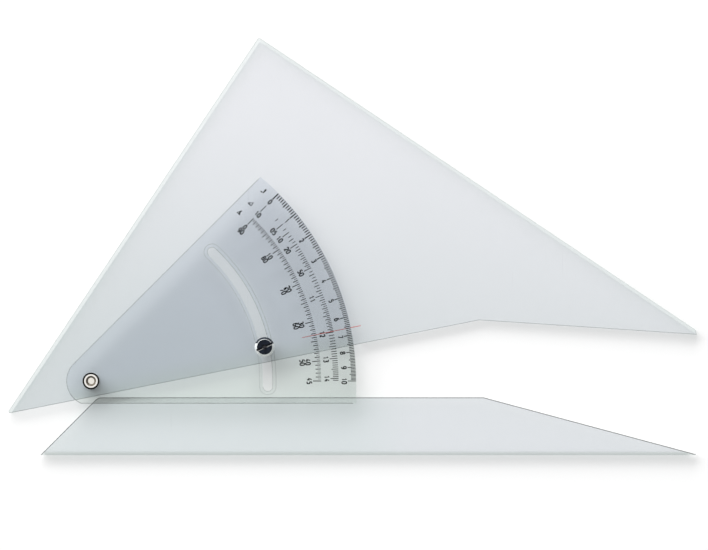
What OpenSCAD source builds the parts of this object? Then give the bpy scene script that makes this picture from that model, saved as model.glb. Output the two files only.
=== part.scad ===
// Adjustable set square: a base rule that slides along a straight edge, a
// triangular blade that swings on a hollow rivet, and a quadrant with scales
// that is cemented to the base rule and lies over the blade.
// Millimetres. X runs along the guide edge, Y across the drawing sheet, +Z up.
// The origin is on the pivot axis, in the plane of the drawing sheet.

/* [Base rule] */
// Length of the guide edge
guide_l = 310; // [240:1:420]
// Width of the base rule
base_w = 27.3; // [22:0.1:36]
// Thickness of the base rule
base_t = 3; // [2.4:0.1:5]
// Distance from the pivot to the base rule's inner edge
seam_off = 7.8; // [6.8:0.1:11]
// Angle of the taper towards the two tips
taper_deg = 15; // [12:1:20]
// Length of the point taken off the base rule's tip
base_blunt = 1.5; // [0.8:0.1:4]
// Radius of the base rule's corner beside the pivot
base_corner_r = 4; // [1:0.1:8]

/* [Blade] */
// Opening angle of the blade as shown
open_deg = 11.2; // [0:0.1:45]
// Distance from the pivot to the blade's short drawing edge
blade_margin = 24.6; // [18:0.1:32]
// How far the blade's long drawing edge passes the base rule's tip when closed
blade_reach = 0.7; // [0:0.1:2]
// Width of the blade's blunt tip
blade_blunt = 2.3; // [1:0.1:5]
// Radius of the blade's square corner and of its short point
blade_corner_r = 0.8; // [0.6:0.1:3]
// Gap along the seam between the closed blade and the base rule
seam_gap = 0.3; // [0.2:0.05:0.8]
// Running gap between the blade and the quadrant over it
blade_gap = 0.2; // [0.1:0.05:0.5]

/* [Edges] */
// Width of the ink step under the drawing edges
ink_w = 1.5; // [0.8:0.1:2.5]
// Height of the ink step
ink_h = 0.9; // [0.4:0.1:1.4]
// How far the ink step's inner wall leans out from its foot to its top
ink_lean = 0.3; // [0:0.05:0.6]
// Width of the bevel along every upper edge
edge_bevel = 0.35; // [0.1:0.05:0.55]

/* [Quadrant] */
// Radius of the scale edge
arc_r = 125.4; // [108:0.1:150]
// Thickness of the quadrant
quadrant_t = 2.5; // [2.1:0.1:4]
// Width of the cemented lap on the base rule
lap_w = 2.9; // [2:0.1:5]
// Radius of the quadrant's end round the pivot
tab_r = 11.7; // [10:0.1:16]
// Width of the bevelled scale edge
scale_bevel_w = 1.7; // [1:0.1:3]
// Height of the bevelled scale edge
scale_bevel_h = 1.4; // [0.6:0.1:1.7]

/* [Slot] */
// Radius of the slot's centre line
slot_r = 83.6; // [60:0.1:94]
// Width of the slot
slot_w = 4.3; // [3.6:0.1:5.4]
// Angle that the slot runs on past each end of the blade's swing
slot_spare_deg = 1.8; // [0.6:0.1:3]
// Width of the guide groove under the slot
groove_w = 7.7; // [6.8:0.1:9]
// Depth of the guide groove
groove_d = 1; // [0.6:0.1:1.2]

/* [Cursor] */
// Length of the cursor line inside the scale edge
cursor_in = 23.6; // [10:0.1:28]
// Length of the cursor line beyond the scale edge
cursor_out = 4.8; // [1:0.1:10]
// Angle of the cursor line ahead of the blade's swing
cursor_lead_deg = 0.4; // [-0.5:0.1:0.5]
// Width of the cursor line
cursor_w = 0.35; // [0.2:0.05:0.6]
// Depth of the cursor line's engraving
cursor_d = 0.15; // [0.1:0.05:0.3]

/* [Pivot] */
// Bore of the hollow rivet
rivet_bore_d = 3.1; // [2.4:0.1:4]
// Wall of the hollow rivet
rivet_wall = 0.75; // [0.5:0.05:1]
// Diameter of the rivet's rolled lip
lip_d = 6.4; // [6:0.1:8]
// Height of the rolled lip over the washer
lip_h = 0.6; // [0.4:0.1:1]
// Radius of the lip's outer curl
curl_r = 0.4; // [0.2:0.05:0.4]
// Diameter of the rivet's flat head under the blade
rivet_head_d = 7.6; // [6.8:0.1:9]
// Thickness of the rivet's flat head
rivet_head_t = 0.5; // [0.3:0.1:0.8]
// Diameter of the washers on the rivet
pivot_washer_d = 8; // [7:0.1:10]
// Thickness of the friction washer under the lip
pivot_washer_t = 0.5; // [0.3:0.1:1]

/* [Clamp] */
// Angle of the stud behind the blade's swing
stud_lag_deg = 0.1; // [-0.5:0.1:0.5]
// Diameter of the stud's thread
thread_d = 2; // [1.6:0.1:2.6]
// Diameter of the stud's barrel in the blade
barrel_d = 4; // [3.2:0.1:4.8]
// Diameter of the stud's riveted end under the blade
stud_head_d = 5.6; // [5:0.1:7]
// Thickness of the stud's riveted end
stud_head_t = 0.5; // [0.3:0.1:0.8]
// Diameter of the clamp washer
clamp_washer_d = 8.6; // [7.5:0.1:9]
// Thickness of the clamp washer
clamp_washer_t = 0.4; // [0.3:0.1:1]
// Diameter of the knob at its foot
knob_foot_d = 9.3; // [8.6:0.1:12]
// Diameter of the knob at its top
knob_top_d = 7.2; // [6:0.1:8.4]
// Height of the knob
knob_h = 3.6; // [2.8:0.1:6]
// Width of the coin slot across the knob
coin_slot_w = 1.2; // [0.8:0.1:1.6]
// Depth of the coin slot
coin_slot_d = 1.8; // [0.8:0.1:2]
// Direction of the coin slot, from the line of the pivot and the stud
coin_slot_deg = 13.7; // [0:0.1:180]
// Width of the knob's turned chamfers
knob_chamfer = 0.2; // [0.1:0.05:0.4]

/* [Fits] */
// Clearance per side of parts that turn on each other
run_clear = 0.05; // [0.02:0.01:0.1]
// Clearance per side of parts that are pressed together
press_clear = 0.01; // [0:0.01:0.02]
// Clearance per side of the stud in the slot and in the groove
guide_clear = 0.2; // [0.1:0.05:0.3]
// Clearance per side of sunk heads, and over the stud's flange
sink_clear = 0.2; // [0.1:0.05:0.3]
// How far the sunk heads stay above the drawing sheet
sink = 0.2; // [0.1:0.05:0.4]

/* [Hidden] */
$fn = 180;

// The blade swings from closed (0) to this angle
swing_deg = 45;
// The cutting shapes run this far past what they cut
over = 1;
// A corner's rounding stands this proud of its sides, so that the surfaces
// cross where they would only touch
proud = 0.002;

// Levels above the drawing sheet
blade_t = base_t - blade_gap;
quadrant_z = base_t;
quadrant_top = quadrant_z + quadrant_t;
lip_z = quadrant_top + pivot_washer_t;
crest_z = lip_z + lip_h;
knob_z = quadrant_top + clamp_washer_t;

// The closed figure: a right-angled triangle that the seam divides
guide_y = -(seam_off + base_w);
corner_x = seam_off * sqrt(2) + guide_y;
tip_x = corner_x + guide_l + base_blunt;
knee_x = tip_x - base_w / tan(taper_deg);
base_inner_x = seam_off * (sqrt(2) - 1);

// The blade's corners while it is closed
short_edge_c = blade_margin * sqrt(2);
long_edge_c = tip_x + guide_y + blade_reach * sqrt(2);
blade_y = -seam_off + seam_gap;
blade_knee_x = knee_x + seam_gap * tan(taper_deg / 2);
blade_tip_x = (long_edge_c - blade_y - blade_knee_x * tan(taper_deg) - blade_blunt)
    / (1 - tan(taper_deg));
blade_tip_y = blade_y - (blade_tip_x - blade_knee_x) * tan(taper_deg);
apex_x = (long_edge_c - short_edge_c) / 2;

// The quadrant's lower edge and upper edge
lap_y = -(seam_off + lap_w);

// Radii on the pivot and on the stud
rivet_r = rivet_bore_d / 2 + rivet_wall;
mouth_r = lip_d / 2 - curl_r - rivet_bore_d / 2;
mouth_z = crest_z - mouth_r;
stud_shoulder_r = slot_w / 2 - guide_clear;
stud_flange_r = groove_w / 2 - guide_clear;
thread_r = thread_d / 2;

base_outline = [[corner_x, guide_y], [tip_x - base_blunt, guide_y],
    [tip_x - base_blunt, guide_y + base_blunt * tan(taper_deg)],
    [knee_x, -seam_off], [base_inner_x, -seam_off]];
base_radii = [0, 0, 0, 0, base_corner_r];

blade_outline = [[blade_y - short_edge_c, blade_y], [blade_knee_x, blade_y],
    [blade_tip_x, blade_tip_y], [blade_tip_x, blade_tip_y + blade_blunt],
    [apex_x, apex_x + short_edge_c]];
blade_radii = [blade_corner_r, 0, 0, 0, blade_corner_r];

// Direction of a vector, and the turn from one direction to another
function heading(v) = atan2(v[1], v[0]);
function turn(a, b) = let(d = b - a) d > 180 ? d - 360 : d < -180 ? d + 360 : d;
// Item i of a closed list
function around(list, i) = list[(i + len(list)) % len(list)];
// Heading of the side that leaves corner i, and how far corner i turns
function side_heading(p, i) = heading(around(p, i + 1) - around(p, i));
function corner_turn(p, i) = turn(side_heading(p, i - 1), side_heading(p, i));
// How much of a side the rounding of corner i takes
function rounded_off(p, r, i) = around(r, i) * tan(abs(corner_turn(p, i)) / 2);

// A bar along side i of the outline p, with the given section in
// (distance outwards, height), from one rounded corner to the next
module along_side(p, r, i, section) {
    from = rounded_off(p, r, i);
    to = rounded_off(p, r, i + 1);
    side = norm(around(p, i + 1) - around(p, i));
    translate(around(p, i))
        rotate(side_heading(p, i))
        straight_bevel([from, 0], 0, side - from - to, section);
}

// What a bevel takes off a plate of thickness t, as a section
function bevel_section(w, h, t) = [[over, t - h * (1 + over / w)], [over, t + over],
    [-w * (1 + over / h), t + over]];

// A plate with rounded convex corners and a bevel round its upper face
module plate(p, r, t) {
    difference() {
        linear_extrude(t) polygon(p);
        for (i = [0 : len(p) - 1]) {
            along_side(p, r, i, bevel_section(edge_bevel, edge_bevel, t));
            if (r[i] > 0) round_corner(p, r, i, t);
        }
    }
}

// What rounding corner i takes away, with its bevel
module round_corner(p, r, i, t) {
    angle = corner_turn(p, i);
    reach = r[i] / cos(angle / 2) + over;
    outside = r[i] + proud;
    inside = outside - edge_bevel;
    translate(p[i])
        rotate(side_heading(p, i - 1))
        translate([-rounded_off(p, r, i), r[i], 0])
        rotate(-90)
        rotate_extrude(angle = angle)
        polygon([[outside, -over], [reach, -over], [reach, t + over],
            [inside, t + over], [inside, t], [outside, t - edge_bevel]]);
}

// The rebate that keeps ink from creeping under side i
module ink_step(p, r, i) {
    foot = -ink_w - ink_lean * over / ink_h;
    along_side(p, [for (k = r) 0], i, [[foot, -over], [over, -over],
        [over, ink_h], [-ink_w + ink_lean, ink_h]]);
}

// An arc-shaped channel round the pivot with round ends, cut from each end
// to a little past its middle
module arc_channel(r, w, z, h) {
    half = swing_deg / 2 + slot_spare_deg;
    for (end = [0, 1])
        rotate(swing_deg / 2)
            mirror([0, end, 0])
            rotate(-half) {
                rotate_extrude(angle = half + over)
                    translate([r - w / 2, z])
                    square([w, h]);
                translate([r, 0, z]) cylinder(d = w, h = h);
            }
}

// Puts a part that belongs to the blade where the blade stands
module on_blade() {
    rotate(open_deg) children();
}

// Puts a part on the axis of the stud, on a blade that is closed
module on_stud() {
    rotate(-stud_lag_deg) translate([slot_r, 0, 0]) children();
}

// Puts a part on the axis of the clamp
module on_clamp() {
    on_blade() on_stud() children();
}

module base_rule() {
    color([0.80, 0.84, 0.85, 0.6])
        difference() {
            plate(base_outline, base_radii, base_t);
            ink_step(base_outline, base_radii, 0);
        }
}

module blade() {
    color([0.82, 0.85, 0.90, 0.6])
        on_blade()
        difference() {
            plate(blade_outline, blade_radii, blade_t);
            ink_step(blade_outline, blade_radii, 3);
            ink_step(blade_outline, blade_radii, 4);
            blade_pivot_hole();
            blade_stud_hole();
            cursor_engraving();
        }
}

module blade_pivot_hole() {
    translate([0, 0, -over])
        cylinder(r = rivet_r + run_clear, h = blade_t + 2 * over);
    translate([0, 0, -over])
        cylinder(d = rivet_head_d + 2 * sink_clear, h = over + sink + rivet_head_t);
}

module blade_stud_hole() {
    on_stud()
        translate([0, 0, -over])
        cylinder(d = barrel_d + 2 * press_clear, h = blade_t + 2 * over);
    on_stud()
        translate([0, 0, -over])
        cylinder(d = stud_head_d + 2 * sink_clear, h = over + sink + stud_head_t);
}

module cursor_engraving() {
    rotate(cursor_lead_deg)
        translate([arc_r - cursor_in, -cursor_w / 2, blade_t - cursor_d])
        cube([cursor_in + cursor_out, cursor_w, cursor_d + over]);
}

module quadrant() {
    color([0.72, 0.78, 0.78, 0.6])
        translate([0, 0, quadrant_z])
        difference() {
            linear_extrude(quadrant_t) quadrant_outline();
            scale_bevel();
            plain_bevels();
            translate([0, 0, -over])
                cylinder(r = rivet_r + press_clear, h = quadrant_t + 2 * over);
            arc_channel(slot_r, slot_w, -over, quadrant_t + 2 * over);
            arc_channel(slot_r, groove_w, -over, over + groove_d);
        }
}

// The outline in three fields that meet along their sides: the sector up to
// the upper edge, the strip down to the lap, and the round end at the pivot.
// The upper edge runs parallel to the line of the blade's full swing.
module quadrant_outline() {
    intersection() {
        circle(r = arc_r);
        rotate(swing_deg)
            translate([0, -2 * arc_r])
            square([2 * arc_r, 2 * arc_r + tab_r]);
        translate([-2 * tab_r, 0]) square(2 * arc_r);
    }
    translate([0, lap_y]) square([arc_r, -lap_y]);
    intersection() {
        rotate(swing_deg)
            intersection() {
                circle(r = tab_r);
                translate([-2 * tab_r, -2 * tab_r]) square([2 * tab_r, 4 * tab_r]);
            }
        translate([-2 * tab_r, lap_y]) square([2 * tab_r, 2 * tab_r - lap_y]);
    }
}

// The bevel that carries the finest scale: along the arc, then straight down
module scale_bevel() {
    section = bevel_section(scale_bevel_w, scale_bevel_h, quadrant_t);
    rotate_extrude(angle = 2 * swing_deg)
        translate([arc_r, 0])
        polygon(section);
    straight_bevel([arc_r, lap_y - over], 90, over - lap_y, section);
}

// The small bevels along the other edges and round the pivot
module plain_bevels() {
    section = bevel_section(edge_bevel, edge_bevel, quadrant_t);
    straight_bevel([-tab_r, lap_y], 0, tab_r + arc_r + over, section);
    rotate(swing_deg) {
        mirror([0, 1, 0]) straight_bevel([0, -tab_r], 0, arc_r, section);
        rotate(90)
            rotate_extrude(angle = 180 - swing_deg)
            translate([tab_r, 0])
            polygon(section);
    }
}

// A bevel that starts at a point and takes the right side of a heading
module straight_bevel(start, direction, length, section) {
    translate(start)
        rotate(direction)
        rotate([90, 0, 90])
        mirror([1, 0, 0])
        linear_extrude(length)
        polygon(section);
}

// One turned part: flat head, hollow shank, and a lip rolled over the washer
// with a bell mouth inside and a tight curl outside
module pivot_rivet() {
    color([0.86, 0.85, 0.82])
        rotate_extrude()
        union() {
            translate([rivet_bore_d / 2, sink])
                square([(rivet_head_d - rivet_bore_d) / 2, rivet_head_t]);
            translate([rivet_bore_d / 2, sink])
                square([rivet_wall, mouth_z - sink]);
            rolled_lip();
        }
}

// Section of the rolled lip
module rolled_lip() {
    mouth_x = rivet_bore_d / 2 + mouth_r;
    intersection() {
        union() {
            translate([mouth_x, mouth_z]) circle(r = mouth_r);
            translate([mouth_x, crest_z - curl_r]) circle(r = curl_r);
            translate([mouth_x, lip_z]) square([curl_r, lip_h - curl_r]);
        }
        union() {
            translate([rivet_bore_d / 2, lip_z])
                square([mouth_r + curl_r, lip_h]);
            translate([rivet_bore_d / 2, mouth_z])
                square([rivet_wall, mouth_r]);
        }
    }
}

module pivot_washer() {
    color([0.05, 0.05, 0.05])
        translate([0, 0, quadrant_top])
        ring(pivot_washer_d / 2, rivet_r + press_clear, pivot_washer_t);
}

module pivot_spacer() {
    color([0.93, 0.93, 0.90])
        translate([0, 0, blade_t])
        ring(pivot_washer_d / 2, rivet_r + press_clear, blade_gap);
}

// A washer with its upper outer edge broken
module ring(r_out, r_in, t) {
    break_w = min(t / 3, edge_bevel / 2);
    rotate_extrude()
        polygon([[r_in, 0], [r_out, 0], [r_out, t - break_w],
            [r_out - break_w, t], [r_in, t]]);
}

// One turned part, riveted in the blade: its flange runs in the groove, its
// shoulder in the slot, and its thread carries the knob
module clamp_stud() {
    flange_top = quadrant_z + groove_d - sink_clear / 2;
    shoulder_top = quadrant_top - sink_clear;
    thread_top = knob_z + knob_h - coin_slot_d;
    barrel_r = barrel_d / 2;
    color([0.78, 0.76, 0.70])
        on_clamp()
        rotate_extrude()
        polygon([[0, sink], [stud_head_d / 2, sink],
            [stud_head_d / 2, sink + stud_head_t], [barrel_r, sink + stud_head_t],
            [barrel_r, blade_t], [stud_flange_r, blade_t],
            [stud_flange_r, flange_top], [stud_shoulder_r, flange_top],
            [stud_shoulder_r, shoulder_top], [thread_r, shoulder_top],
            [thread_r, thread_top - knob_chamfer],
            [thread_r - knob_chamfer, thread_top], [0, thread_top]]);
}

module clamp_washer() {
    color([0.90, 0.89, 0.84])
        on_clamp()
        translate([0, 0, quadrant_top])
        ring(clamp_washer_d / 2, thread_r + sink_clear, clamp_washer_t);
}

// A round nut with a tapering side and a slot that a coin turns
module clamp_knob() {
    foot_r = knob_foot_d / 2;
    top_r = knob_top_d / 2;
    bore_r = thread_r + run_clear;
    color([0.10, 0.11, 0.13])
        on_clamp()
        translate([0, 0, knob_z])
        difference() {
            rotate_extrude()
                polygon([[bore_r, 0], [foot_r - knob_chamfer, 0],
                    [foot_r, knob_chamfer], [top_r, knob_h - knob_chamfer],
                    [top_r - knob_chamfer, knob_h], [bore_r, knob_h]]);
            rotate(coin_slot_deg)
                translate([-foot_r - over, -coin_slot_w / 2, knob_h - coin_slot_d])
                cube([2 * (foot_r + over), coin_slot_w, coin_slot_d + over]);
        }
}

base_rule();
quadrant();
blade();
pivot_rivet();
pivot_washer();
pivot_spacer();
clamp_stud();
clamp_washer();
clamp_knob();
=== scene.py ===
import math

import bpy
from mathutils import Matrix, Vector


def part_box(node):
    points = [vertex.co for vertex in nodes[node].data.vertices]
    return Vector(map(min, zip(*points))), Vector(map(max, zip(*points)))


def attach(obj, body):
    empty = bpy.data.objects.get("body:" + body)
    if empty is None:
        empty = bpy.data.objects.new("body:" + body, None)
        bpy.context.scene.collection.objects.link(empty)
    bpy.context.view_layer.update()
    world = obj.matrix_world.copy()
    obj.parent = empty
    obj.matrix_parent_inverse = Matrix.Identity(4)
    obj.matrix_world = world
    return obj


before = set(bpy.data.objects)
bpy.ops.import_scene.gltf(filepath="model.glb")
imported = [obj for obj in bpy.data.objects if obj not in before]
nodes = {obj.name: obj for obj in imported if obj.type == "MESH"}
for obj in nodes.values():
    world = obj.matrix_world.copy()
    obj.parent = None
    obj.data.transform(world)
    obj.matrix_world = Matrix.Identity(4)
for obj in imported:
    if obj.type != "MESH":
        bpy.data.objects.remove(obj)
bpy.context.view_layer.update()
print("frame loaded:", ", ".join(sorted(nodes)))

mm = 0.001
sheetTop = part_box("quadrant")[1].z
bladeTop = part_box("blade")[1].z
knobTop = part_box("clamp_knob")[1].z
knobAxis = (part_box("clamp_knob")[0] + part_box("clamp_knob")[1]) / 2


class Sock:  # a node output that takes part in Python sums
    def __init__(self, recipe, out):
        self.recipe = recipe
        self.out = out

    def maths(self, operation, *others, clamp=False):
        settings = {"operation": operation, "use_clamp": clamp}
        made = self.recipe.node("ShaderNodeMath", settings, dict(enumerate([self, *others])))
        return Sock(self.recipe, made.outputs[0])

    def __add__(self, other):
        return self.maths("ADD", other)

    def __sub__(self, other):
        return self.maths("SUBTRACT", other)

    def __rsub__(self, other):
        return self * -1 + other

    def __mul__(self, other):
        return self.maths("MULTIPLY", other)

    def __pow__(self, power):
        return self.maths("POWER", power)

    def __gt__(self, limit):
        return self.maths("GREATER_THAN", limit)

    def __lt__(self, limit):
        return self.maths("LESS_THAN", limit)

    def __abs__(self):
        return self.maths("ABSOLUTE")

    def ramp(self, low, high):  # 0 below low, 1 above high
        made = self.recipe.node("ShaderNodeMapRange", {"interpolation_type": "SMOOTHSTEP"},
                                {0: self, 1: low, 2: high, 3: 0.0, 4: 1.0})
        return Sock(self.recipe, made.outputs[0])

    __radd__ = __add__
    __rmul__ = __mul__


class Recipe:  # the nodes of one material, or of the world
    def __init__(self, data):
        self.data = data
        data.use_nodes = True
        self.tree = data.node_tree
        self.tree.nodes.clear()

    def node(self, kind, settings=None, sockets=None):
        made = self.tree.nodes.new(kind)
        for key, value in (settings or {}).items():
            setattr(made, key, value)
        for key, value in (sockets or {}).items():
            value = value.out if isinstance(value, Sock) else value
            if isinstance(value, bpy.types.NodeSocket):
                self.tree.links.new(value, made.inputs[key])
            else:
                made.inputs[key].default_value = value
        return made

    def sock(self, kind, output=0, settings=None, sockets=None):
        return Sock(self, self.node(kind, settings, sockets).outputs[output])

    def place(self, turn=0.0, stretch=(1, 1, 1), middle=(0, 0, 0)):  # Object coordinates
        spot = self.sock("ShaderNodeTexCoord", "Object")
        turned = {"Vector": spot, "Rotation": (0, 0, math.radians(turn)), "Scale": stretch}
        if any(middle):
            away = self.node("ShaderNodeVectorMath", {"operation": "SUBTRACT"},
                             {0: spot, 1: middle})
            turned["Vector"] = away.outputs[0]
        return self.sock("ShaderNodeMapping", 0, {}, turned)

    def noise(self, place, scale, detail=2.0):
        return self.sock("ShaderNodeTexNoise", "Fac", {},
                         {"Vector": place, "Scale": scale, "Detail": detail})

    def split(self, vector):
        made = self.node("ShaderNodeSeparateXYZ", {}, {0: vector})
        return [Sock(self, out) for out in made.outputs]

    def facing(self, way=2):  # how far the face itself looks along an axis of its piece
        turned = self.sock("ShaderNodeVectorTransform", 0, {
            "vector_type": "NORMAL", "convert_from": "WORLD", "convert_to": "OBJECT"},
            {0: self.sock("ShaderNodeNewGeometry", "True Normal")})
        return self.split(turned)[way]

    def apart(self, place, spot=(0, 0, 0)):  # how far it is from a point
        return self.sock("ShaderNodeVectorMath", "Value", {"operation": "DISTANCE"},
                         {0: place, 1: spot})

    def blend(self, share, first, second):
        first, second = (c if isinstance(c, Sock) else (*c, 1) for c in (first, second))
        made = self.node("ShaderNodeMix", {"data_type": "RGBA"},
                         {0: share, 6: first, 7: second})
        return Sock(self, made.outputs[2])

    def bump(self, height, strength, distance):
        return self.sock("ShaderNodeBump", 0, {},
                         {"Height": height, "Strength": strength, "Distance": distance})

    def plain(self, sockets):
        return self.node("ShaderNodeBsdfPrincipled", {}, sockets)

    def tinted(self, colour):  # see-through, and all that it takes away is colour
        return self.node("ShaderNodeBsdfTransparent", {}, {"Color": (*colour, 1)})

    def glowing(self, strength, colour=(1, 1, 1)):
        return self.node("ShaderNodeEmission", {},
                         {"Color": (*colour, 1), "Strength": strength})

    def mixed(self, share, first, second):
        return self.node("ShaderNodeMixShader", {}, {
            0: share, 1: first.outputs[0], 2: second.outputs[0]})

    def seenRays(self):  # 1 for what the camera sees, straight, mirrored or through glass
        path = self.node("ShaderNodeLightPath")
        camera, glossy, through = (Sock(self, path.outputs["Is " + ray + " Ray"])
                                   for ray in ("Camera", "Glossy", "Transmission"))
        return (camera + glossy).maths("ADD", through, clamp=True)

    def finish(self, shader):
        self.node("ShaderNodeOutputMaterial", {}, {"Surface": shader.outputs[0]})
        return self.data


def newRecipe(name):
    return Recipe(bpy.data.materials.new(name))


def wear(piece, material):
    piece.data.materials.clear()
    piece.data.materials.append(material)


def select(*pieces):
    bpy.ops.object.select_all(action="DESELECT")
    for piece in pieces:
        piece.select_set(True)
    if pieces:
        bpy.context.view_layer.objects.active = pieces[-1]


view = {
    "centre": (124.3, 50.1),  # what the middle of the picture looks at, in mm
    "width": 335.1,  # how much of the sheet the picture spans
    "height": 4000,
    "sensor": 36,
    "clip": (0.1, 60),  # metres
}


def makeCamera():
    x, y = (c * mm for c in view["centre"])
    bpy.ops.object.camera_add(location=(x, y, view["height"] * mm), rotation=(0, 0, 0))
    camera = bpy.context.object
    camera.name = "camera"
    camera.data.sensor_width = view["sensor"]
    camera.data.lens = view["sensor"] * view["height"] / view["width"]
    camera.data.clip_start, camera.data.clip_end = view["clip"]
    bpy.context.scene.camera = camera


floorLook = {
    "size": 30,  # metres
    "drop": 0.00006,
    "colour": (0.90, 0.90, 0.90),
    "lift": 0.08,  # what brings the paper up to white for the camera
    "fade": (0.30, 1.0),  # past this, in metres, it is plain white for the camera
    "bore": (1.75, 0.70),  # painted light: the paper seen down the rivet's bore, within this radius in mm, glows with this much more lift
    "boreGlowColour": (1.0, 0.96, 0.88),  # and in this warm colour, standing in for light thrown down the bore
}


def makeFloor():
    select()
    bpy.ops.mesh.primitive_plane_add(
        size=floorLook["size"], location=(0, 0, -floorLook["drop"]))
    floor = bpy.context.object
    floor.name = "floor"
    paper = newRecipe("paper")
    seen = paper.seenRays()
    middle = Vector((*(c * mm for c in view["centre"]), 0))
    far = paper.apart(paper.place(middle=middle)).ramp(*floorLook["fade"])
    dull = paper.node("ShaderNodeBsdfDiffuse", {}, {"Color": (*floorLook["colour"], 1)})
    lift = floorLook["lift"]
    bore, gain = floorLook["bore"]
    # painted light: a warm glow on the paper under the rivet's bore, for the camera's rays
    deep = paper.apart(paper.place()) < bore * mm
    glow = paper.mixed(deep, paper.glowing(lift),
                       paper.glowing(lift + gain, floorLook["boreGlowColour"]))
    glow = paper.mixed(seen, paper.glowing(0), glow)
    near = paper.node("ShaderNodeAddShader", {}, {0: dull.outputs[0], 1: glow.outputs[0]})
    wear(floor, paper.finish(paper.mixed(far * seen, near, paper.glowing(1))))


keyLight = {
    "target": (0.12, 0.05, 0.0),
    "azimuth": 120,  # from +X, so it comes over the upper left
    "elevation": 21,
    "distance": 9.0,
    "size": (16.5, 4.2),  # wide and low, so only long edges throw a clear shadow
    "power": 2490,
}


def makeKey():
    target = Vector(keyLight["target"])
    around = math.radians(keyLight["azimuth"])
    up = math.radians(keyLight["elevation"])
    away = Vector((math.cos(up) * math.cos(around), math.cos(up) * math.sin(around),
                   math.sin(up)))
    bpy.ops.object.light_add(type="AREA", location=target + away * keyLight["distance"])
    lamp = bpy.context.object
    lamp.name = "key"
    lamp.rotation_euler = away.to_track_quat("Z", "Y").to_euler()
    lamp.data.shape = "RECTANGLE"
    lamp.data.size, lamp.data.size_y = keyLight["size"]
    lamp.data.energy = keyLight["power"]
    lamp.visible_glossy = False  # its glare would wash out the clear sheets from the front


skyLight = {"ambient": 0.34, "seen": 1.0}  # what lights the square, and what is seen


def makeSky():
    world = bpy.data.worlds.new("sky")
    bpy.context.scene.world = world
    sky = Recipe(world)
    gain = skyLight["seen"] - skyLight["ambient"]
    strength = sky.seenRays() * gain + skyLight["ambient"]
    glow = sky.node("ShaderNodeBackground", {},
                    {"Color": (1, 1, 1, 1), "Strength": strength})
    sky.node("ShaderNodeOutputWorld", {}, {"Surface": glow.outputs[0]})


makeCamera()
makeFloor()
makeKey()
makeSky()
bpy.context.scene.view_settings.view_transform = "Standard"
print("camera, floor and light ready")


# What one face lets through, from the first mark of the fade to the second. Bevels: those
# that look towards -Y, and the others; their tints are painted shade, dark lines along the
# cut edges. Step: the ink step's faces from outside. Wall: how solid a cut side looks from
# outside, and where it is under the quadrant. Turn: the way of the scratches.
sheets = {
    "base_rule": {"low": (0.926, 0.944, 0.948), "high": (0.936, 0.946, 0.955),
                  "fade": ((1.0, 0.0), (120, 160)), "bevels": (0.87, 0.18),
                  "step": 0.67, "wall": 0.36, "turn": 4},
    "quadrant": {"low": (0.907, 0.929, 0.920), "high": (0.925, 0.938, 0.956),
                 "fade": ((-0.2, 1.0), (-10, 3)), "bevels": (0.50, 0.62),
                 "wall": 0.12, "turn": 47},
    "blade": {"low": (0.897, 0.914, 0.919), "high": (0.955, 0.959, 0.969),
              "fade": ((0.22, 1.0), (-15, 175)), "bevels": (0.58, 0.80),
              "step": 0.97, "wall": 0.36, "wallUnder": 0.14, "turn": -31},
}

sheetMake = {
    "steep": 0.75,  # a face that looks up less than this is a bevel
    "upright": 0.30,  # and less than this, a wall
    "level": 0.9,  # more than this, the ink step's ceiling
    "near": -0.4,  # a bevel that looks along Y less than this is a near one
    "through": (0.95, 0.955, 0.955),  # out through a wall from inside the sheet
    "wall": (0.16, 0.24, 0.22),
    "wallRough": 0.3,
    "underQuadrant": 128,  # the quadrant covers the blade up to here in X
    "green": (0.97, 1.0, 0.99),  # the cast of a bevel
    "under": (0.90, 0.97),  # the ink step's ceiling from in the sheet, and its inner wall
    "stepSpan": (0.1, 1.2),  # the heights that hold only the ink step
    "lap": (-7.8, (0.950, 0.966, 0.954)),  # cement takes the quadrant's gloss off here
    "cloud": (9.0, 3.0, 0.3),  # scale, detail, strength
    "scratch": ((260, 7, 260), 4.0, 4.0),  # stretch, scale, detail
    "scratchFrom": (0.66, 0.8),
    "crossed": 74,  # the second set of scratches runs at this angle to the first
    "haze": (0.80, 0.82, 0.83),
    "hazeShare": 0.05,
    "hazeRough": 0.6,
    "gloss": (0.04, 0.10),  # roughness of the polish, and what a scratch adds
    "dent": (0.15, 0.00004),
    "mirror": (0.04, 5),  # what it mirrors face on, and the power by which that grows
    "bend": 1.49,
}

arcSlot = {
    "radius": 83.6,
    "middle": 22.5,  # degrees
    "half": 24.3,
    "lines": {  # painted light and shade: outwards from the middle of the slot: (from, to): what it lets through
        (-4.02, -3.70): (0.850, 0.870, 0.865),
        (-2.48, -2.06): (0.975, 0.988, 0.986),
        (2.08, 2.44): (0.800, 0.823, 0.815),
        (3.70, 4.02): (0.820, 0.842, 0.835),
    },
}


def slotLines(sheet, clear):  # painted bright and dark lines along the slot and its groove, standing in for the light and shade at their walls
    reach = arcSlot["radius"] * mm
    along, across, _ = sheet.split(sheet.place(turn=-arcSlot["middle"]))
    half = math.radians(arcSlot["half"])
    past = (abs(across) * math.cos(half)) > (along * math.sin(half))
    flat = sheet.sock("ShaderNodeCombineXYZ", 0, {}, {0: along, 1: abs(across)})
    end = (reach * math.cos(half), reach * math.sin(half), 0)
    away = sheet.apart(flat) - reach
    away = away + past * (sheet.apart(flat, end) - away)
    for (start, stop), colour in arcSlot["lines"].items():
        line = (away > start * mm) * (away < stop * mm)
        clear = sheet.mixed(line, clear, sheet.tinted(colour))
    return clear


def greened(share):  # lets this much through, with a cast of green
    return tuple(share * part for part in sheetMake["green"])


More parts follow.
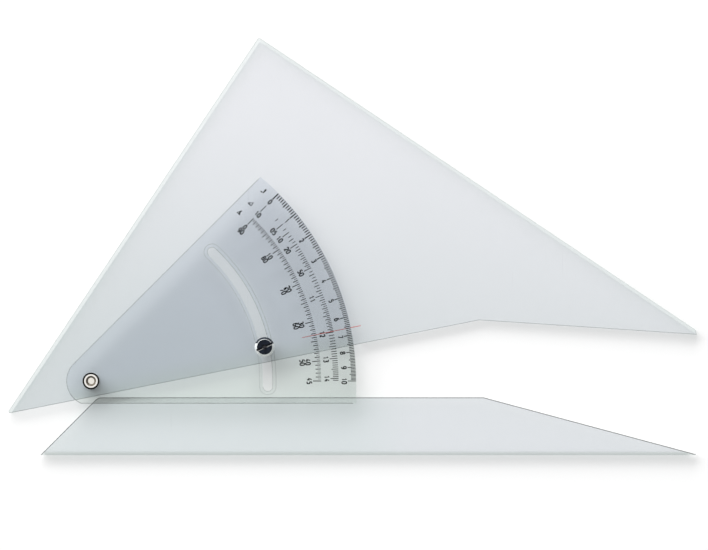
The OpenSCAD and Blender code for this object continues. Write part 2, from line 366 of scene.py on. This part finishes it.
def broadFaces(sheet, name, look, spot):
    (alongX, alongY), marks = look["fade"]
    start, end = (mark * mm for mark in marks)
    scale, detail, strength = sheetMake["cloud"]
    cloud = sheet.noise(sheet.place(), scale, detail)
    share = (spot[0] * alongX + spot[1] * alongY).ramp(start, end)
    share = share.maths("ADD", (cloud - 0.5) * strength, clamp=True)
    clear = sheet.mixed(share, sheet.tinted(look["low"]), sheet.tinted(look["high"]))
    if name == "quadrant":
        lap, cemented = sheetMake["lap"]
        clear = sheet.mixed(spot[1] < lap * mm, clear, sheet.tinted(cemented))
        clear = slotLines(sheet, clear)
    return clear


def bevels(sheet, look):
    # painted shade: dark lines along the cut edges, standing in for what refraction throws
    # there, set by side
    near, far = (sheet.tinted(greened(share)) for share in look["bevels"])
    return sheet.mixed(sheet.facing(1) < sheetMake["near"], far, near)


def inkStep(sheet, look, up, outside):  # as seen from in the sheet, and from below
    ceiling, inner = (sheet.tinted(greened(share)) for share in sheetMake["under"])
    under = sheet.mixed(up > sheetMake["level"], inner, ceiling)
    return sheet.mixed(outside, under, sheet.tinted(greened(look["step"])))


def cutSides(sheet, look, spot, outside):
    solid = look["wall"]
    if "wallUnder" in look:
        past = spot[0] > sheetMake["underQuadrant"] * mm
        solid = past * (solid - look["wallUnder"]) + look["wallUnder"]
    cut = sheet.plain({
        "Base Color": (*sheetMake["wall"], 1),
        "Roughness": sheetMake["wallRough"],
        "IOR": sheetMake["bend"],
        "Alpha": solid,
    })
    return sheet.mixed(outside, sheet.tinted(sheetMake["through"]), cut)


def scratches(sheet, look):  # two sets that cross
    stretch, scale, detail = sheetMake["scratch"]
    first, second = (
        sheet.noise(sheet.place(look["turn"] + turn, stretch), scale, detail)
        .ramp(*sheetMake["scratchFrom"]) for turn in (0, sheetMake["crossed"]))
    return first.maths("MAXIMUM", second)


def clearSheet(name, look):
    sheet = newRecipe("clear_" + name)
    up = abs(sheet.facing())
    outside = 1 - sheet.sock("ShaderNodeNewGeometry", "Backfacing")
    spot = sheet.split(sheet.place())
    clear = broadFaces(sheet, name, look, spot)
    clear = sheet.mixed(up < sheetMake["steep"], clear, bevels(sheet, look))
    if "step" in look:
        low, high = sheetMake["stepSpan"]
        span = (spot[2] > low * mm) * (spot[2] < high * mm)
        clear = sheet.mixed(span, clear, inkStep(sheet, look, up, outside))
    clear = sheet.mixed(up < sheetMake["upright"], clear,
                        cutSides(sheet, look, spot, outside))
    scratch = scratches(sheet, look)
    haze = sheet.plain({
        "Base Color": (*sheetMake["haze"], 1),
        "Roughness": sheetMake["hazeRough"],
        "IOR": sheetMake["bend"],
    })
    clear = sheet.mixed(scratch * sheetMake["hazeShare"], clear, haze)
    smooth, marked = sheetMake["gloss"]
    shine = sheet.node("ShaderNodeBsdfGlossy", {}, {
        "Color": (1, 1, 1, 1),
        "Roughness": scratch * marked + smooth,
        "Normal": sheet.bump(scratch, *sheetMake["dent"]),
    })
    slant = sheet.sock("ShaderNodeLayerWeight", "Facing", {}, {"Blend": 0.5})
    flat, power = sheetMake["mirror"]
    mirror = (slant ** power * (1 - flat) + flat) * outside
    return sheet.finish(sheet.mixed(mirror, clear, shine))


for name, look in sheets.items():
    wear(nodes[name], clearSheet(name, look))
print("clear sheets ready")


nickel = {
    "colour": (0.88, 0.86, 0.82),
    "mouthShade": (0.13, 0.11, 0.085),
    "mouth": (1.5, 2.45),  # painted shade in patches, from the bore out to here, in mm
    "patches": (1300.0, 2.0),  # scale, detail
    "patchFrom": (0.22, 0.44),
    "cloud": (900.0, 3.0),
    "rough": (0.16, 0.12, 0.4),  # clean, what the cloud adds, what the painted shade adds
    "dent": (0.08, 0.00003),
}


def nickelPlate():  # bright on the crest of the lip, with painted shade in patches in the mouth
    plate = newRecipe("polished_nickel")
    flat = plate.apart(plate.place(stretch=(1, 1, 0)))
    inner, outer = nickel["mouth"]
    cloud = plate.noise(plate.place(), *nickel["cloud"])
    patches = plate.noise(plate.place(), *nickel["patches"]).ramp(*nickel["patchFrom"])
    # painted shade in patches, in the mouth of the rivet
    mouthShade = (flat < outer * mm) * (flat > inner * mm) * patches
    clean, clouded, shadeRough = nickel["rough"]
    return plate.finish(plate.plain({
        "Base Color": plate.blend(mouthShade, nickel["colour"], nickel["mouthShade"]),
        "Metallic": 1 - mouthShade,
        "Roughness": cloud * clouded + mouthShade * shadeRough + clean,
        "Normal": plate.bump(cloud, *nickel["dent"]),
    }))


steelLook = {
    "colour": (0.62, 0.61, 0.58),
    "black": (0.05, 0.05, 0.055),
    "endShadeFrom": 7.0,  # painted shade: its free end, down in the knob's slot, is black from this height up
    "rings": ((120, 120, 9000), 1.0, 2.0),  # stretch, scale, detail
    "rough": (0.28, 0.2),
    "dent": (0.1, 0.00003),
}


def turnedSteel():
    steel = newRecipe("turned_steel")
    stretch, scale, detail = steelLook["rings"]
    rings = steel.noise(steel.place(0, stretch), scale, detail)
    # painted shade: the stud's end, down in the knob, is black
    black = steel.split(steel.place())[2] > steelLook["endShadeFrom"] * mm
    smooth, ringed = steelLook["rough"]
    return steel.finish(steel.plain({
        "Base Color": steel.blend(black, steelLook["colour"], steelLook["black"]),
        "Metallic": 1.0,
        "Roughness": rings * ringed + smooth,
        "Normal": steel.bump(rings, *steelLook["dent"]),
    }))


knobLook = {
    "enamel": (0.004, 0.006, 0.011),
    "paintedSheen": (0.012, 0.017, 0.028),  # a painted sheen: lighter blue-black in cloudy patches, standing in for reflections on the enamel
    "cloud": (700.0, 4.0),  # scale, detail
    "paintedSheenFrom": (0.35, 0.75),
    "bareAndHighlight": (0.94, 0.96, 0.94),
    "shiny": 0.45,  # how much of the bare side mirrors
    "rings": ((150, 150, 9000), 1.0, 2.0),
    "rough": (0.20, 0.2, 0.1),  # clean, what the cloud adds, what the rings add
    "shine": 0.12,
    "dent": (0.12, 0.00004),
    "side": (0.15, 0.60),  # the tapering side, by how far it looks up
    "slotTurn": 24.8,
    "slotHighlightDeep": (1.4, 2.2),  # a painted highlight: bright bare metal along one wall of the slot, between these depths
    "edge": (0.36, 0.60),  # and this far across from the slot's middle, on one side only
    "arc": (1.7, 3.74),  # painted shade: the side stays black from here up in Y, and outside this radius, where it shows dark
}


def enamelledKnob():
    knob = newRecipe("black_enamel")
    middle = (knobAxis.x, knobAxis.y, 0)
    up = knob.facing()
    high = knob.split(knob.place())[2]
    upright = knob.split(knob.place(middle=middle))[1]
    across = knob.split(knob.place(turn=-knobLook["slotTurn"], middle=middle))[1]
    radius = knob.apart(knob.place(stretch=(1, 1, 0), middle=middle))
    # painted shade on the upper arc of the tapering side, which keeps it black
    shadedTop, ring = knobLook["arc"]
    shadedTop = (upright > shadedTop * mm) * (radius > ring * mm)
    low, top = knobLook["side"]
    side = (up > low) * (up < top) * (1 - shadedTop)
    inner, outer = knobLook["edge"]
    shallow, deep = (knobTop - depth * mm for depth in knobLook["slotHighlightDeep"])
    slotHighlight = (across < -inner * mm) * (across > -outer * mm) \
        * (high < shallow) * (high > deep)
    # the bare tapering side, and the painted highlight along the slot
    bareAndHighlight = side.maths("MAXIMUM", slotHighlight)
    cloud = knob.noise(knob.place(), *knobLook["cloud"])
    stretch, scale, detail = knobLook["rings"]
    turned = knob.noise(knob.place(0, stretch, middle), scale, detail)
    # painted sheen over the black enamel, in cloudy patches
    paint = knob.blend(cloud.ramp(*knobLook["paintedSheenFrom"]),
                       knobLook["enamel"], knobLook["paintedSheen"])
    clean, clouded, ringed = knobLook["rough"]
    return knob.finish(knob.plain({
        "Base Color": knob.blend(bareAndHighlight, paint, knobLook["bareAndHighlight"]),
        "Metallic": bareAndHighlight * knobLook["shiny"],
        "Roughness": cloud * clouded + clean + bareAndHighlight * (turned * ringed),
        "Specular IOR Level": knobLook["shine"],
        "Normal": knob.bump(cloud, *knobLook["dent"]),
    }))


softLook = {  # rough: smooth grain, and what the coarse adds
    "black_fibre": {"colours": ((0.003, 0.003, 0.003), (0.010, 0.010, 0.009)),
                    "scale": 2600.0, "rough": (0.62, 0.25), "bump": 0.25, "shine": 0.05},
    "white_nylon": {"colours": ((0.80, 0.80, 0.76), (0.90, 0.90, 0.87)),
                    "scale": 800.0, "rough": (0.38, 0.15), "bump": 0.06, "shine": 0.45},
    "black_ink": {"colours": ((0.003, 0.004, 0.004), (0.009, 0.011, 0.011)),
                  "scale": 1800.0, "rough": (0.45, 0.2), "bump": 0.05, "shine": 0.05},
    "red_ink": {"colours": ((0.52, 0.060, 0.045), (0.63, 0.11, 0.085)),
                "scale": 900.0, "rough": (0.42, 0.2), "bump": 0.05, "shine": 0.3},
}

softGrain = {"detail": 4.0, "depth": 0.00003}


def softFinish(name):
    look = softLook[name]
    soft = newRecipe(name)
    grain = soft.noise(soft.place(), look["scale"], softGrain["detail"])
    rough, spread = look["rough"]
    return soft.finish(soft.plain({
        "Base Color": soft.blend(grain, *look["colours"]),
        "Specular IOR Level": look["shine"],
        "Roughness": grain * spread + rough,
        "Normal": soft.bump(grain, look["bump"], softGrain["depth"]),
    }))


wear(nodes["pivot_rivet"], nickelPlate())
wear(nodes["clamp_stud"], turnedSteel())
wear(nodes["clamp_knob"], enamelledKnob())
wear(nodes["pivot_washer"], softFinish("black_fibre"))
nylon = softFinish("white_nylon")
wear(nodes["pivot_spacer"], nylon)
wear(nodes["clamp_washer"], nylon)
blackInk = softFinish("black_ink")
print("metal, enamel, fibre, nylon and ink ready")


ink = {
    "sink": 0.01,  # how far the print bites into the sheet, in mm
    "high": 0.035,
    "soft": 0.012,  # the rounding along a line's top
}


def chosen(piece, test):  # selects the faces that pass, in edit mode
    bpy.ops.mesh.select_all(action="DESELECT")
    bpy.ops.object.mode_set(mode="OBJECT")
    for face in piece.data.polygons:
        face.select = test(face)
    bpy.ops.object.mode_set(mode="EDIT")


def tickBar(inner, outer, line, over=None):
    select()
    thick = ink["sink"] + ink["high"]
    bpy.ops.mesh.primitive_cube_add(
        size=1,
        location=((inner + outer) / 2 * mm, 0, sheetTop + (ink["high"] - thick / 2) * mm),
        scale=((outer - inner) * mm, line * mm, thick * mm),
    )
    bar = bpy.context.object
    bpy.ops.object.transform_apply(location=True, rotation=True, scale=True)
    bpy.ops.object.mode_set(mode="EDIT")
    if over:  # the line bends down over the bevelled edge
        chosen(bar, lambda face: face.normal.x > 0.9)
        bpy.ops.mesh.extrude_region_move(
            TRANSFORM_OT_translate={"value": (over[0] * mm, 0, over[1] * mm)})
    chosen(bar, lambda face: face.normal.z > 0.5)
    bpy.ops.mesh.inset(thickness=ink["soft"] * mm, depth=0)
    bpy.ops.mesh.select_all(action="SELECT")
    bpy.ops.mesh.normals_make_consistent(inside=False)
    bpy.ops.object.mode_set(mode="OBJECT")
    return bar


def copyTurned(source, angle, radius=0.0):
    made = source.copy()
    made.data = source.data.copy()
    bpy.context.scene.collection.objects.link(made)
    turn = math.radians(angle)
    made.location = (radius * mm * math.cos(turn), radius * mm * math.sin(turn), 0)
    made.rotation_euler = (0, 0, turn)
    return made


def joinUp(name, parts, body, finish):
    bpy.context.view_layer.update()
    select(*parts)
    if len(parts) > 1:
        bpy.ops.object.join()
    bpy.ops.object.transform_apply(location=True, rotation=True, scale=True)
    piece = bpy.context.object
    piece.name = name
    piece.data.name = name
    wear(piece, finish)
    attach(piece, body)
    return piece


def scaleTicks(name, look, lines):  # lines is {inner radius: angles}
    parts = []
    for inner, angles in lines.items():
        line = look["fine"] if inner == max(lines) else look["line"]
        bar = tickBar(inner, look["outer"], line, look.get("over"))
        for angle in angles:
            parts.append(copyTurned(bar, angle))
            parts[-1].scale.y = 1 - look.get("thin", 0) * (1 - angle / degrees["span"])
        bpy.data.objects.remove(bar)
    return joinUp(name, parts, "base", blackInk)


degrees = {
    "line": 0.39,
    "fine": 0.22,  # the shortest lines
    "outer": 108.75,
    "labelled": 104.9,
    "five": 105.6,
    "whole": 106.3,
    "half": 107.2,
    "span": 45,
    "numbered": (0, 5, 15, 25, 35, 45),
}


def degreeTicks():
    lines = {degrees[key]: [] for key in ("labelled", "five", "whole", "half")}
    for step in range(degrees["span"] * 2 + 1):
        angle = step / 2
        if step % 2:
            key = "half"
        elif angle in degrees["numbered"]:
            key = "labelled"
        else:
            key = "five" if angle % 5 == 0 else "whole"
        lines[degrees[key]].append(angle)
    scaleTicks("degree_ticks", degrees, lines)


slope = {
    "line": 0.35,
    "fine": 0.29,
    "outer": 117.0,
    "labelled": 113.2,
    "five": 113.8,
    "whole": 114.4,
    "part": 115.3,
    "last": 1.41,
    "unit": 0.0025,
    "bands": ((1.05, 1), (1.2, 2), (1.41, 4)),  # up to here, by this many units
    "fives": 20,  # units from one of these lines to the next
    "wholes": (2, 4),  # and of these, in the first band and after it
    "marks": {1.0: "10", 1.005: "05", 1.01: "10", 1.02: "20", 1.05: "50",
              1.1: "11", 1.2: "12", 1.3: "13", 1.4: "14"},
}


def slopeAngle(ratio):
    return 45 - math.degrees(math.acos(1 / ratio))


def slopeTicks():
    lines = {slope[key]: [] for key in ("labelled", "five", "whole", "part")}
    unit = slope["unit"]
    hair = unit / 4
    firstBand = slope["bands"][0][0]
    step = 0
    while step * unit <= slope["last"] - 1 + hair:
        ratio = round(1 + step * unit, 4)
        whole = slope["wholes"][0 if ratio < firstBand else 1]
        if ratio in slope["marks"]:
            key = "labelled"
        elif step % slope["fives"] == 0:
            key = "five"
        else:
            key = "part" if step % whole else "whole"
        lines[slope[key]].append(slopeAngle(ratio))
        step += next((by for end, by in slope["bands"] if ratio < end - hair), 1)
    scaleTicks("slope_ticks", slope, lines)


rise = {
    "line": 0.58,
    "fine": 0.52,
    "thin": 0.36,  # how much finer the lines are where they crowd, at 0 degrees
    "outer": 123.7,
    "over": (1.5, -1.235),  # on over the bevel, outward and down
    "whole": 121.4,
    "half": 122.3,
    "tenth": 122.9,
    "count": 100,  # tenths
}


def riseAngle(value):
    return 45 - math.degrees(math.atan(value / 10))


def riseTicks():
    lines = {rise[key]: [] for key in ("whole", "half", "tenth")}
    for step in range(rise["count"] + 1):
        key = "tenth" if step % 5 else "half" if step % 10 else "whole"
        lines[rise[key]].append(riseAngle(step / 10))
    scaleTicks("rise_ticks", rise, lines)


degreeTicks()
slopeTicks()
riseTicks()
print("scale ticks ready")


figures = {
    "tall": 2.17,  # between the middles of the strokes
    "wide": 0.96,
    "signWide": 1.9,  # a sign is this many figures wide
    "stroke": 0.54,
    "gap": 0.62,
    "rounded": 1,  # how finely a stroke is rounded across, and a bow along it
    "bowed": 3,
}

# Each figure is drawn with a pen in a box one wide and one tall: straight, curved or closed.
loop = [(0, .27), (0, .73), (.2, .96), (.5, 1), (.8, .96), (1, .73), (1, .27), (.8, .04),
        (.5, 0), (.2, .04)]
bowl = [(0, .3), (.15, .54), (.5, .62), (.86, .54), (1, .3), (.86, .06), (.5, 0), (.14, .06)]
tail = [(0, .3), (.03, .64), (.2, .9), (.5, 1), (.86, .93)]
strokes = {
    "0": [("closed", loop)],
    "1": [("straight", [(.2, .76), (.62, 1), (.62, 0)])],
    "2": [("curved", [(.02, .78), (.16, .95), (.5, 1), (.86, .93), (.97, .74), (.8, .48),
                      (.02, 0)]), ("straight", [(0, 0), (1, 0)])],
    "3": [("curved", [(.04, .93), (.42, 1), (.84, .93), (.92, .74), (.76, .57), (.4, .54)]),
          ("curved", [(.4, .54), (.82, .48), (1, .27), (.84, .06), (.45, 0), (0, .08)])],
    "4": [("straight", [(.62, 1), (0, .3), (1, .3)]), ("straight", [(.76, .56), (.76, 0)])],
    "5": [("straight", [(.92, 1), (.14, 1), (.07, .55)]),
          ("curved", [(.07, .55), (.45, .63), (.86, .56), (1, .31), (.86, .07), (.46, 0),
                      (0, .08)])],
    "6": [("closed", bowl), ("curved", tail)],
    "7": [("straight", [(0, 1), (1, 1), (.36, 0)])],
    "8": [("closed", [(.5, 1), (.14, .94), (.05, .76), (.2, .58), (.5, .53), (.8, .58),
                      (.95, .76), (.86, .94)]),
          ("closed", [(.5, .53), (.12, .46), (0, .26), (.14, .05), (.5, 0), (.86, .05),
                      (1, .26), (.88, .46)])],
    "9": [("closed", [(1 - u, 1 - v) for u, v in bowl]),
          ("curved", [(1 - u, 1 - v) for u, v in tail])],
    "angle": [("straight", [(1.9, 0), (0, 0), (1.35, .95)]),
              ("curved", [(1.25, 0), (1.17, .34), (.86, .6)])],
    "slope": [("straight", [(0, 0), (1.9, 0), (1.9, .8), (0, 0)])],
    "rise": [("straight", [(0, 0), (1.0, 0)]), ("straight", [(1.5, 0), (1.5, 1)]),
             ("straight", [(1.1, .7), (1.5, 1), (1.9, .7)])],
}


def penMark(text):  # figures side by side, centred on the origin, as one flat mesh
    signs = [text] if text in strokes else list(text)
    wide = figures["wide"] * (figures["signWide"] if len(signs[0]) > 1 else 1)
    pitch = wide + figures["gap"]
    line = bpy.data.curves.new("mark", "CURVE")
    line.dimensions = "3D"
    line.bevel_depth = figures["stroke"] / 2 * mm
    line.bevel_resolution = figures["rounded"]
    line.use_fill_caps = True
    line.resolution_u = figures["bowed"]
    for place, sign in enumerate(signs):
        left = pitch * (place - (len(signs) - 1) / 2) - wide / 2
        for manner, points in strokes[sign]:
            straight = manner == "straight"
            run = line.splines.new("POLY" if straight else "BEZIER")
            ends = run.points if straight else run.bezier_points
            ends.add(len(points) - 1)
            for end, (u, v) in zip(ends, points):
                spot = ((left + u * figures["wide"]) * mm, (v - .5) * figures["tall"] * mm, 0)
                end.co = (*spot, 1) if straight else spot
                if not straight:
                    end.handle_left_type = end.handle_right_type = "AUTO"
            run.use_cyclic_u = manner == "closed"
    mark = bpy.data.objects.new("mark", line)
    bpy.context.scene.collection.objects.link(mark)
    select(mark)
    bpy.ops.object.convert(target="MESH")
    mark = bpy.context.object
    thick = ink["high"] + ink["sink"]
    mark.scale.z = thick / figures["stroke"]
    mark.rotation_euler.z = math.radians(-90)  # tops outward, for a copy at angle 0
    mark.location.z = sheetTop + (ink["high"] - thick / 2) * mm
    bpy.ops.object.transform_apply(location=True, rotation=True, scale=True)
    return mark


def placedMarks(name, marks):  # marks is [(text, radius, angle)]
    drawn = {text: penMark(text) for text in dict.fromkeys(text for text, _, _ in marks)}
    parts = [copyTurned(drawn[text], angle, radius) for text, radius, angle in marks]
    for source in drawn.values():
        bpy.data.objects.remove(source)
    return joinUp(name, parts, "base", blackInk)


numberRows = {
    "degreeInner": 100.2,
    "degreeOuter": 102.9,
    "degreeSingle": 103.2,
    "slope": 111.5,
    "rise": 119.7,
}

scaleSigns = {  # small signs in place of headings: sign, radius, angle
    "degree": ("angle", 106.5, 48.6),
    "slope": ("slope", 113.3, 48.1),
    "rise": ("rise", 121.5, 47.8),
}


def makeNumbers():
    inner, outer = numberRows["degreeInner"], numberRows["degreeOuter"]
    marks = [("45", numberRows["degreeSingle"], 0)]
    for angle in degrees["numbered"][1:]:
        marks += [(str(45 + angle), inner, angle), (str(45 - angle), outer, angle)]
    placedMarks("degree_numbers", marks)
    placedMarks("slope_numbers", [(text, numberRows["slope"], slopeAngle(ratio))
                                  for ratio, text in slope["marks"].items()])
    placedMarks("rise_numbers", [(str(value), numberRows["rise"], riseAngle(value))
                                 for value in range(11)])
    placedMarks("scale_signs", list(scaleSigns.values()))


makeNumbers()
print("numbers and signs ready")


cursor = {
    "inner": 101.85,
    "outer": 130.15,
    "angle": 11.6,
    "wide": 0.30,
    "low": 0.14,  # below the blade's top, in the engraving
    "high": 0.01,
    "crown": 0.05,
}


def makeCursor():
    select()
    long = cursor["outer"] - cursor["inner"]
    thick = cursor["low"] - cursor["high"]
    bpy.ops.mesh.primitive_cube_add(
        size=1,
        location=((cursor["inner"] + long / 2) * mm, 0,
                  bladeTop - (cursor["high"] + thick / 2) * mm),
        scale=(long * mm, cursor["wide"] * mm, thick * mm),
    )
    line = bpy.context.object
    bpy.ops.object.transform_apply(location=True, rotation=True, scale=True)
    bpy.ops.object.mode_set(mode="EDIT")
    chosen(line, lambda face: face.normal.z > 0.5)
    bpy.ops.mesh.bevel(offset=cursor["crown"] * mm, segments=2, affect="EDGES")
    bpy.ops.object.mode_set(mode="OBJECT")
    line.rotation_euler.z = math.radians(cursor["angle"])
    joinUp("cursor_filling", [line], "blade", softFinish("red_ink"))


makeCursor()
print("cursor line ready")
